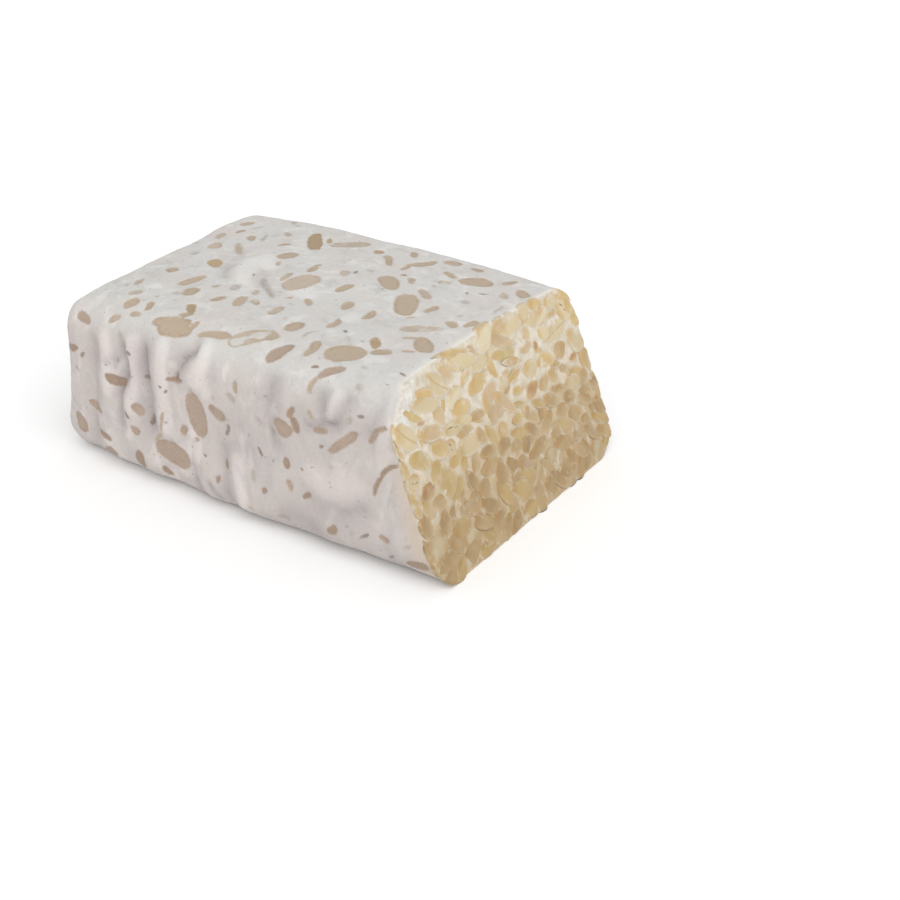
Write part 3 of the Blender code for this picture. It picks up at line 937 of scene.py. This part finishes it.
def cut_height(form, beans):
    """How far the mycelium on the cut stands out from the knife's plane: fleecy, and hollow under beans."""
    place = form.place
    fleece = 0.2 * MM * noise_at(place, 2.4 * MM, 8.0) + 0.12 * MM * noise_at(place, 0.9 * MM, 9.0)
    hollow = np.zeros(len(place))
    for bean in beans:
        near = np.flatnonzero(np.linalg.norm(place - bean.middle, axis=1) < 1.4 * bean.half_long)
        found = smooth_step((-0.8 * MM - bean_distance(bean, place[near])) / (0.6 * MM))
        hollow[near] = np.maximum(hollow[near], found)
    corner = into_corner(place, 30 * MM, 3 * MM)
    lumps = 0.5 * MM * noise_at(place, 2.8 * MM, 10.0) + 0.3 * MM * noise_at(place, 1.3 * MM, 16.0)
    height = fleece - 0.12 * MM + (0.4 * MM + lumps) * corner - 0.9 * MM * hollow
    return height * smooth_step(form.inset / (0.9 * MM)), corner


def rim_values(form, corner, at_corner):
    """What the material reads around the cut's rim: how far each point has the cut's look, where the
    white corner's thick mycelium shows, where the front rim is golden, and how far away the cut is (mm)."""
    cut = form.on_cut
    ragged = 1.2 * MM * noise_at(form.place, 2.5 * MM, 14.0)
    off = np.linalg.norm(form.place[:, 1:] - SKIN_TURNS_AT, axis=1)
    turned = SKIN_TURNS * np.exp(-((off / SKIN_TURNS_REACH) ** 2))
    thick = 0.85 * at_corner * smooth_step((0.9 * MM - form.from_cut - turned + ragged) / (1.0 * MM))
    thick[cut] = corner * smooth_step((form.inset + ragged - turned)[cut] / (0.8 * MM))
    past_skin = smooth_step((turned - form.inset + 0.7 * ragged) / (0.8 * MM)) * at_corner
    cut_share = cut * (1 - past_skin * (turned > 0.3 * MM))
    from_cut = np.where(cut, np.maximum(turned - form.inset, 0.0), form.from_cut + turned)
    rim = smooth_step(1 - form.inset / (1.6 * MM))
    left_rim = rim * smooth_step((-30 * MM - form.place[:, 1]) / (4 * MM))
    left_rim *= cut * smooth_step((38 * MM - form.place[:, 2]) / (6 * MM))
    return {"cut": cut_share, "thick": thick, "left_rim": left_rim, "from_cut": from_cut / MM}


def make_skin(patches, folds, beans, origin):
    bm = box_net()
    split_near_outlines(bm, patches)
    form = surface(places(bm))
    edge, owner = measured(patches, form.place, form.facing)
    edge[form.on_cut] = 3 * MM
    height, grey, pale = skin_height(form, folds, edge)
    cut = form.on_cut
    on_cut = Surface(*[values[cut] for values in form])
    height[cut], corner = cut_height(on_cut, beans)
    at_corner = into_corner(form.place, 27 * MM, 5 * MM)
    uneven = (RIM_UNEVEN + CORNER_UNEVEN * at_corner) * noise_at(form.place, 4 * MM, 12.0)
    rim_radius = MM * (RIM_RADIUS + CORNER_RADIUS * at_corner + uneven)
    place = form.place + form.facing * height[:, None] + rim_rounding(form, rim_radius)
    off = np.linalg.norm(form.place - POINT_AT, axis=1)
    place += POINT_OUT * np.exp(-((off / POINT_REACH) ** 2))[:, None] * POINT_WAY
    place[:, 2] = np.maximum(place[:, 2], 0.0)
    for vert, spot in zip(bm.verts, (place - origin).tolist()):
        vert.co = spot
    bmesh.ops.recalc_face_normals(bm, faces=bm.faces)
    mesh = bpy.data.meshes.new("mycelium")
    bm.to_mesh(mesh)
    bm.free()
    mesh.shade_smooth()
    add_values(mesh, edge=edge / MM, grey=grey, pale=pale, up=form.facing[:, 2])
    add_values(mesh, **rim_values(form, corner, at_corner))
    looks = [LOOKS[p.look] for p in patches]
    for name in ("soft", "cover", "veil", "band"):
        add_values(mesh, **{name: np.array([getattr(look, name) for look in looks])[owner]})
    shades = [1 + SHADES * noise.noise((p.a * 1.3, p.b * 1.7, 2.2)) for p in patches]
    colours = np.array([seen(look.colour) for look in looks]) * np.array(shades)[:, None]
    add_bean_colours(mesh, colours[owner])
    return in_scene("mycelium", mesh)


# ------------------------------------------------------------------------------ materials


class Nodes:
    """Short calls for building a material's nodes."""

    def __init__(self, name):
        self.material = bpy.data.materials.new(name)
        self.material.use_nodes = True
        self.tree = self.material.node_tree
        self.shader = self.tree.nodes["Principled BSDF"]

    def add(self, kind, settings=None, **inputs):
        node = self.tree.nodes.new(kind)
        for key, value in (settings or {}).items():
            setattr(node, key, value)
        for key, value in inputs.items():
            self.put(node, key.replace("_", " "), value)
        return node

    def put(self, node, key, value):
        socket = node.inputs[int(key)] if key.isdigit() else node.inputs[key]
        if isinstance(value, bpy.types.NodeSocket):
            self.tree.links.new(value, socket)
        else:
            socket.default_value = value

    def value(self, name, output="Fac"):
        return self.add("ShaderNodeAttribute", {"attribute_name": name}).outputs[output]

    def maths(self, operation, a, b=0.0, c=0.0):
        node = self.tree.nodes.new("ShaderNodeMath")
        node.operation = operation
        for index, value in enumerate((a, b, c)):
            self.put(node, str(index), value)
        return node.outputs[0]

    def times(self, a, b):
        return self.maths("MULTIPLY", a, b)

    def ramp(self, value, low, high, out_low=0.0, out_high=1.0):
        """Value from low to high, smoothly turned to out_low to out_high."""
        node = self.add("ShaderNodeMapRange", {"interpolation_type": "SMOOTHSTEP"})
        for key, given in zip("01234", (value, low, high, out_low, out_high)):
            self.put(node, key, given)
        return node.outputs[0]

    def noise(self, vector, size, detail=2.0, roughness=0.5, distortion=0.0):
        node = self.add("ShaderNodeTexNoise", Vector=vector, Scale=1 / size, Detail=detail)
        self.put(node, "Roughness", roughness)
        self.put(node, "Distortion", distortion)
        return node.outputs["Fac"]

    def mix(self, share, a, b, blend="MIX"):
        """From a to b by the share. Each is a socket or a colour as seen."""
        node = self.tree.nodes.new("ShaderNodeMix")
        node.data_type = "RGBA"
        node.blend_type = blend
        for socket, value in zip((node.inputs[0], node.inputs[6], node.inputs[7]), (share, a, b)):
            if isinstance(value, bpy.types.NodeSocket):
                self.tree.links.new(value, socket)
            elif isinstance(value, (int, float)):
                socket.default_value = value
            else:
                socket.default_value = (*seen(value), 1.0)
        return node.outputs[2]

    def soft_inside(self, weight, depth):
        """Lets light spread a little inside the surface, red the furthest."""
        self.shader.inputs["Subsurface Weight"].default_value = weight
        self.shader.inputs["Subsurface Radius"].default_value = (1.0, 0.8, 0.6)
        self.shader.inputs["Subsurface Scale"].default_value = depth

    def stretched(self, vector, scale):
        node = self.add("ShaderNodeMapping", {"vector_type": "POINT"}, Vector=vector)
        node.inputs["Scale"].default_value = scale
        return node.outputs[0]


def cut_colours(n, place):
    """The cut's colours at a place, shared by its mycelium and its beans: the mass of squeezed beans, the
    white between them, and how much white there is."""
    height = n.add("ShaderNodeSeparateXYZ", Vector=place).outputs[2]
    mass = n.mix(n.ramp(n.noise(place, 7 * MM, 2.0), 0.4, 0.6), (209, 190, 154), (199, 173, 130))
    mass = n.mix(n.ramp(n.noise(place, 3 * MM, 2.0, 0.6), 0.45, 0.65, 0.0, 0.6), mass, (212, 198, 168))
    # Darker low down: partly the lower beans' deeper tone, partly painted shade.
    mass = n.mix(n.ramp(height, 6 * MM, 36 * MM, 0.8, 0.0), mass, (166, 136, 92))
    lumps = n.noise(place, 2.2 * MM, 2.0, 0.5)
    fleece = n.mix(n.ramp(lumps, 0.35, 0.65), (203, 194, 177), (220, 212, 197))
    # The white between the beans darker low down: painted shade.
    fleece = n.mix(n.ramp(height, 8 * MM, 39 * MM, 0.7, 0.0), fleece, (186, 169, 141))
    webs = n.noise(n.stretched(place, (1.0, 1.2, 0.75)), 4.2 * MM, 3.0, 0.6, 0.9)
    strands = n.noise(n.stretched(place, (1.0, 1.3, 0.6)), 6 * MM, 1.0, 0.5, 1.2)
    strand = n.ramp(n.maths("ABSOLUTE", n.maths("SUBTRACT", strands, 0.5)), 0.005, 0.028, 0.8, 0.0)
    web = n.maths("MAXIMUM", n.ramp(webs, 0.5, 0.6), strand)
    between = n.mix(n.maths("MAXIMUM", web, n.ramp(height, 14 * MM, 34 * MM, 0.3, 0.9)), mass, fleece)
    return mass, fleece, web, between, height


def skin_material():
    n = Nodes("mycelium")
    place = n.add("ShaderNodeTexCoord").outputs["Object"]
    fibres = n.noise(place, 0.9 * MM, 3.0, 0.6)
    # The sides a little darker and pinker than the top: painted shade.
    white = n.mix(n.ramp(n.value("up"), 0.1, 0.8), (202, 193, 188), (208, 206, 202))
    clouds = n.noise(place, 13 * MM, 2.0)
    white = n.mix(n.ramp(clouds, 0.42, 0.66, 0.0, 0.6), white, (209, 201, 196))
    sideways = n.ramp(n.value("up"), 0.8, 0.2)
    misty = n.noise(n.stretched(place, (1.0, 1.0, 0.7)), 9 * MM, 3.0, 0.6, 0.8)
    misty = n.times(n.ramp(misty, 0.47, 0.68), sideways)
    white = n.mix(n.times(misty, 0.55), white, (187, 181, 180))
    smudges = n.noise(place, 6 * MM, 3.0, 0.6, 0.6)
    white = n.mix(n.ramp(smudges, 0.5, 0.74, 0.0, 0.6), white, (190, 188, 184))
    bright = n.noise(n.stretched(place, (1.3, 1.3, 0.8)), 7.5 * MM, 2.0, 0.5, 0.6)
    # The brightest white, too, is darker and pinker on the sides: painted shade.
    brightest = n.mix(n.ramp(n.value("up"), 0.1, 0.8), (222, 213, 209), (222, 220, 216))
    white = n.mix(n.ramp(bright, 0.5, 0.72, 0.0, 0.75), white, brightest)
    # Painted highlight along the ridges of the folds.
    white = n.mix(n.ramp(n.value("pale"), 0.05, 0.7, 0.0, 0.9), white, brightest)
    # The sides darker towards the cut end: painted shade.
    length = n.add("ShaderNodeSeparateXYZ", Vector=place).outputs[0]
    white = n.mix(n.times(n.ramp(length, 5 * MM, 35 * MM, 0.0, 0.3), sideways), white, (187, 179, 175))
    # Painted shade in the furrows of the folds, with their grey tone.
    white = n.mix(n.times(n.value("grey"), 0.7), white, (168, 160, 159))
    flecks = n.noise(place, 1.7 * MM, 1.0, 0.5, 0.3)
    white = n.mix(n.ramp(flecks, 0.72, 0.78, 0.0, 0.55), white, (150, 142, 136))
    # Where a bean shows: the skin's threads stray over its outline, and wisps of white lie over it.
    stray = n.maths("MULTIPLY_ADD", fibres, 0.4, -0.2)
    depth_in = n.maths("SUBTRACT", n.times(n.value("edge"), -1.0), stray)
    share_in = n.maths("DIVIDE", depth_in, n.value("soft"))
    wisps = n.ramp(n.noise(place, 2.6 * MM, 2.0, 0.5, 1.0), 0.44, 0.58)
    shows = n.maths("MULTIPLY_ADD", n.times(wisps, n.value("veil")), -1.0, n.value("cover"))
    band = n.times(n.value("band"), n.ramp(n.noise(place, 5.5 * MM, 1.0), 0.35, 0.6, 0.4, 2.0))
    past_band = n.maths("SUBTRACT", n.maths("MULTIPLY_ADD", wisps, -0.5, depth_in), band)
    shows = n.times(shows, n.ramp(past_band, -0.6, 0.3, 1.0, 0.12))
    bean_mask = n.times(n.ramp(share_in, -1.0, 1.0), shows)
    grain = n.noise(place, 0.55 * MM, 2.0, 0.6)
    bean = n.mix(n.ramp(grain, 0.3, 0.7, 0.0, 0.2), n.value("bean_colour", "Color"), (203, 190, 172))
    darker = n.ramp(n.noise(place, 3.5 * MM, 2.0), 0.42, 0.66, 0.0, 0.35)
    bean = n.mix(n.times(darker, n.ramp(depth_in, 1.6, 0.3)), bean, (150, 128, 106))
    colour = n.mix(bean_mask, white, bean)
    near_cut = n.ramp(n.maths("MULTIPLY_ADD", clouds, -3.0, n.value("from_cut")), -1.4, 0.9, 0.85, 0.0)
    colour = n.mix(near_cut, colour, (223, 219, 209))
    between, height = cut_colours(n, place)[3:]
    tint = n.times(n.ramp(height, 36 * MM, 26 * MM, 0.0, 0.7), sideways)
    tint = n.times(tint, n.ramp(n.maths("MULTIPLY_ADD", clouds, 6.0, n.value("from_cut")), 11.0, 4.0))
    colour = n.mix(n.times(tint, n.maths("SUBTRACT", 1.0, bean_mask)), colour, (206, 189, 170))
    between = n.mix(n.value("left_rim"), between, (205, 172, 117))
    colour = n.mix(n.value("cut"), colour, between)
    tuft = n.mix(n.ramp(n.noise(place, 1.8 * MM, 3.0, 0.6), 0.35, 0.6), (210, 205, 195), (223, 220, 212))
    colour = n.mix(n.value("thick"), colour, tuft)
    lightness = n.ramp(fibres, 0.25, 0.75, 0.965, 1.03)
    shade = n.add("ShaderNodeCombineColor", Red=lightness, Green=lightness, Blue=lightness).outputs[0]
    colour = n.mix(1.0, colour, shade, "MULTIPLY")
    n.put(n.shader, "Base Color", colour)
    n.put(n.shader, "Roughness", n.ramp(bean_mask, 0.0, 1.0, 0.85, 0.62))
    n.shader.inputs["Specular IOR Level"].default_value = 0.25
    n.soft_inside(0.12, 0.6 * MM)
    bump = n.add("ShaderNodeBump", Strength=0.5, Distance=0.12 * MM, Height=fibres)
    n.put(n.shader, "Normal", bump.outputs[0])
    return n.material


def bean_material():
    n = Nodes("beans")
    place = n.add("ShaderNodeTexCoord").outputs["Object"]
    parts = n.add("ShaderNodeSeparateXYZ", Vector=n.value("in_bean", "Vector"))
    aside, darker, stands = parts.outputs
    mass, fleece, web, between, height = cut_colours(n, place)
    clouds = n.noise(place, 3.2 * MM, 2.0)
    # Lower beans get darker colours: partly their deeper tone, partly painted shade.
    high = n.ramp(height, 10 * MM, 40 * MM)
    light = n.mix(high, (188, 166, 133), (210, 194, 163))
    base = n.mix(n.ramp(clouds, 0.4, 0.7, 0.0, 0.4), n.value("bean_colour", "Color"), light)
    # One side of a bean is a darker gold, mostly on the same side for all beans: partly a golden rim, partly
    # painted shade. The other side runs into the mass around it.
    wavy = n.maths("MULTIPLY_ADD", clouds, 0.8, n.maths("SUBTRACT", darker, 0.4))
    gold = n.mix(high, (158, 120, 66), (192, 155, 92))
    base = n.mix(n.ramp(wavy, 0.1, 0.9, 0.0, 0.78), base, gold)
    merges = n.ramp(height, 20 * MM, 40 * MM, 0.85, 0.3)
    base = n.mix(n.times(n.ramp(wavy, 0.1, -0.75), merges), base, mass)
    low = n.maths("MULTIPLY_ADD", web, -0.35, stands)
    base = n.mix(n.ramp(low, 0.0, 0.4, 0.75, 0.0), base, n.mix(web, mass, fleece))
    veil = n.ramp(n.noise(place, 4.5 * MM, 3.0, 0.6, 1.0), 0.55, 0.68, 0.0, 0.5)
    base = n.mix(n.times(veil, web), base, fleece)
    # A bean's colour fades out towards its outline, least on its darker side.
    local = n.add("ShaderNodeCombineXYZ", X=n.value("along"), Y=aside).outputs[0]
    outward = n.add("ShaderNodeVectorMath", {"operation": "LENGTH"}, Vector=local).outputs["Value"]
    fade = n.times(n.ramp(outward, 0.58, 0.88, 0.0, 0.75), n.ramp(wavy, 0.5, -0.2, 0.3, 1.0))
    base = n.mix(fade, base, between)
    # The line between a split bean's halves, and the dark specks of some.
    halves = n.times(n.ramp(n.maths("ABSOLUTE", aside), 0.02, 0.12, 0.45, 0.0), n.value("split"))
    base = n.mix(halves, base, (180, 145, 96))
    for s_place, t_place, size in ((0.26, 0.12, 1.0), (-0.14, -0.06, 0.75)):
        near = n.add("ShaderNodeVectorMath", {"operation": "DISTANCE"})
        n.put(near, "0", n.stretched(local, (0.5, 1.4, 0.0)))
        n.put(near, "1", (0.5 * s_place, 1.4 * t_place, 0.0))
        dot = n.ramp(near.outputs["Value"], 0.05 * size, 0.12 * size, 0.8, 0.0)
        base = n.mix(n.times(dot, n.value("speck")), base, (118, 90, 54))
    n.put(n.shader, "Base Color", base)
    n.shader.inputs["Roughness"].default_value = 0.55
    n.shader.inputs["Specular IOR Level"].default_value = 0.25
    n.soft_inside(0.15, 0.5 * MM)
    fine = n.noise(place, 0.7 * MM, 2.0)
    bump = n.add("ShaderNodeBump", Strength=0.35, Distance=0.1 * MM, Height=fine)
    n.put(n.shader, "Normal", bump.outputs[0])
    return n.material


# ------------------------------------------------------------------------------ floor, light, camera

# The camera looks at the aim from this far, at these angles in degrees, with a lens in mm.
CAMERA_AZIMUTH = 34.93
CAMERA_ELEVATION = 28.26
CAMERA_DISTANCE = 389.1 * MM
CAMERA_AIM = Vector((33.7, 13.6, 2.4)) * MM
CAMERA_LENS = 52.99

# The studio's even light, and where its wide soft light comes from, how wide it is (degrees) and how strong.
STUDIO_STRENGTH = 0.75
KEY_FROM = Vector((0.62, -0.5, 0.75))
KEY_SPREAD = 70
KEY_STRENGTH = 1.8

# The floor's side, in metres.
FLOOR_SIZE = 6.0


def plain_material(name, colour, roughness):
    n = Nodes(name)
    n.shader.inputs["Base Color"].default_value = (*colour, 1.0)
    n.shader.inputs["Roughness"].default_value = roughness
    n.shader.inputs["Specular IOR Level"].default_value = 0.0
    return n.material


def make_floor():
    bpy.ops.mesh.primitive_plane_add(size=FLOOR_SIZE, location=(0, 0, 0))
    floor = bpy.context.object
    floor.name = "floor"
    floor.data.materials.append(plain_material("floor", (0.93, 0.93, 0.93), 0.9))


def make_light():
    """An even white studio, with one wide soft light from the front right above."""
    world = bpy.data.worlds.new("studio")
    world.use_nodes = True
    background = world.node_tree.nodes["Background"]
    background.inputs["Color"].default_value = (1.0, 1.0, 1.0, 1.0)
    background.inputs["Strength"].default_value = STUDIO_STRENGTH
    bpy.context.scene.world = world
    data = bpy.data.lights.new("key", "SUN")
    data.angle = math.radians(KEY_SPREAD)
    data.energy = KEY_STRENGTH
    key = in_scene("key", data)
    key.rotation_euler = (-KEY_FROM).to_track_quat("-Z", "Y").to_euler()


def make_camera():
    azimuth, elevation = math.radians(CAMERA_AZIMUTH), math.radians(CAMERA_ELEVATION)
    back = Vector(
        (
            math.sin(azimuth) * math.cos(elevation),
            -math.cos(azimuth) * math.cos(elevation),
            math.sin(elevation),
        )
    )
    right = Vector((math.cos(azimuth), math.sin(azimuth), 0.0))
    data = bpy.data.cameras.new("camera")
    data.sensor_width = 36.0
    data.lens = CAMERA_LENS
    data.clip_start = 0.01
    camera = in_scene("camera", data)
    rows = Matrix((right, back.cross(right), back)).transposed().to_4x4()
    camera.matrix_world = Matrix.Translation(CAMERA_AIM + back * CAMERA_DISTANCE) @ rows
    bpy.context.scene.camera = camera


# ------------------------------------------------------------------------------ the scene


def block_origin(cad_low, cad_high):
    """The point of block coordinates that the CAD's origin lies at."""
    grid = [
        (x, y, z)
        for x in np.linspace(0, MEAN_LENGTH, 60)
        for y in np.linspace(-WIDTH / 2, WIDTH / 2, 40)
        for z in np.linspace(0, HEIGHT, 24)
        if x in (0, MEAN_LENGTH) or abs(y) == WIDTH / 2 or z in (0, HEIGHT)
    ]
    place = surface(np.array(grid)).place
    middle = (place.min(axis=0) + place.max(axis=0)) / 2
    cad_middle = (np.array(cad_low) + np.array(cad_high)) / 2
    return np.array([middle[0] - cad_middle[0], middle[1] - cad_middle[1], 0.0])


bpy.context.scene.view_settings.view_transform = "Standard"
for leftover in list(bpy.data.objects):
    bpy.data.objects.remove(leftover)
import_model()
origin = block_origin(*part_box("tempeh_cake"))

noise.seed_set(NOISE_SEED)
rng = np.random.default_rng(CHANCE_SEED)
patches = listed()
for scatter in SCATTERS:
    patches += scattered(scatter, rng, patches)
folds = FOLDS + more_folds(rng)
cut_beans = [placed_bean(seat, rng) for seat in seats(rng)]

skin = make_skin(patches, folds, cut_beans, origin)
skin.data.materials.append(skin_material())
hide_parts("tempeh_cake")
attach(skin, "root")

beans = make_cut_beans(cut_beans, origin, rng)
beans.data.materials.append(bean_material())
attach(beans, "root")

make_floor()
make_light()
make_camera()
